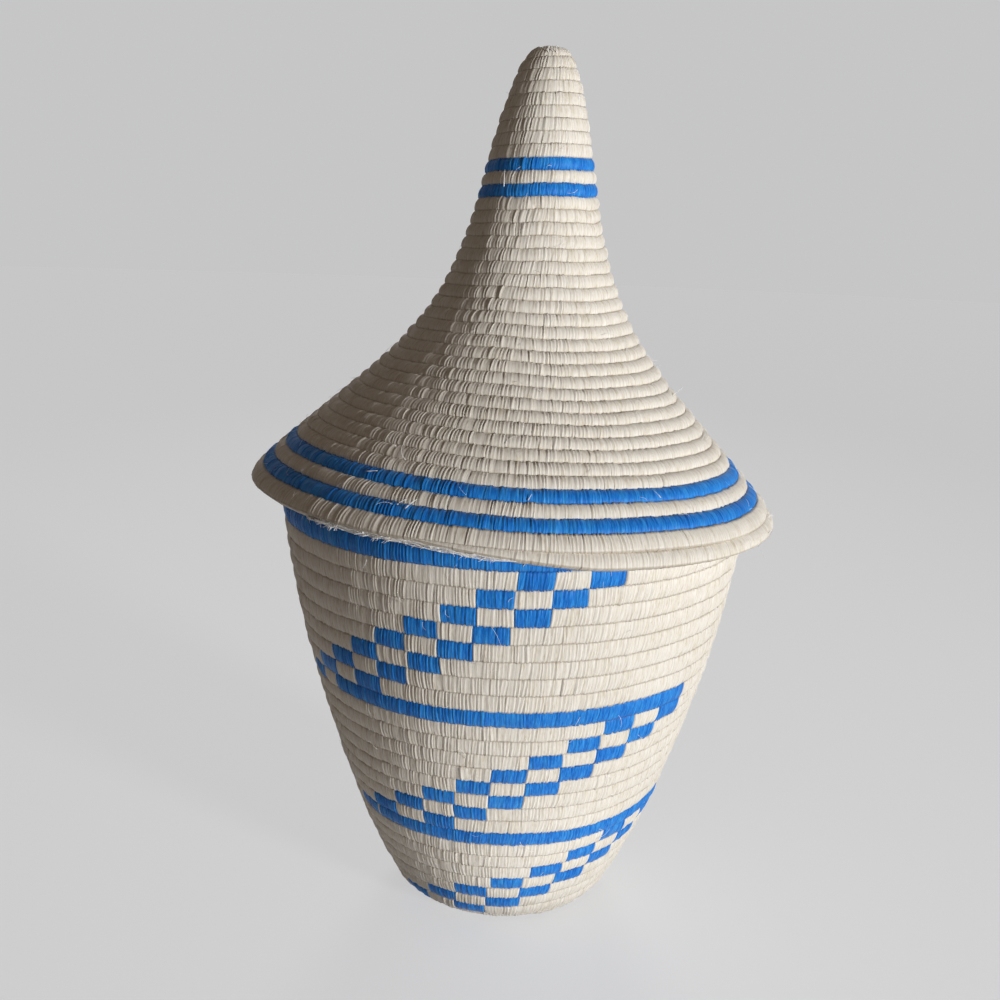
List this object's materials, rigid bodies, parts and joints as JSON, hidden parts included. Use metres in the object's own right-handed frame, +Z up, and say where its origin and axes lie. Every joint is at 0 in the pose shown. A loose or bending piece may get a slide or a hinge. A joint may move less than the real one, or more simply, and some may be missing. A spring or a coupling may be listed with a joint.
{
  "type": "lidded coiled sisal basket",
  "caption": "Tall coiled sisal basket with a flared, pointed lid that lifts off, cream with blue lines and a stepped check pattern.",
  "frame": {"origin": "middle of the underside, on the surface that the basket stands on", "axes": "+Z up along the basket's axis, the pictured front faces -Y, +X to the viewer's right"},
  "size_m": [0.1822, 0.1819, 0.3004],
  "materials": {
    "natural_sisal": "undyed sisal strand wrapped tightly round a grass core, fibrous and matt with a faint sheen",
    "blue_sisal": "sisal strand dyed cobalt blue, wrapped tightly round a grass core, slightly glossy along the fibres"
  },
  "bodies": {
    "basket": {"mouth_end_row": "natural_sisal", "mouth_blue_row": "blue_sisal", "upper_wall_rows": "natural_sisal", "middle_blue_row": "blue_sisal", "middle_wall_rows": "natural_sisal", "lower_blue_row": "blue_sisal", "lower_wall_rows": "natural_sisal", "foot_row": "natural_sisal", "floor_rows": "natural_sisal", "floor_start_button": "natural_sisal"},
    "lid": {"rim_roll": "natural_sisal", "brim_lower_blue_ring": "blue_sisal", "brim_natural_ring": "natural_sisal", "brim_upper_blue_ring": "blue_sisal", "brim_rows": "natural_sisal", "flare_rows": "natural_sisal", "neck_rows": "natural_sisal", "neck_lower_blue_ring": "blue_sisal", "neck_natural_ring": "natural_sisal", "neck_upper_blue_ring": "blue_sisal", "tip_rows": "natural_sisal", "tip_knot": "natural_sisal"}
  },
  "joints": [
    {"name": "lid_lift", "type": "slide", "parent": "basket", "child": "lid", "axis": [0, 0, 1], "range_m": [0, 0.08]}
  ]
}
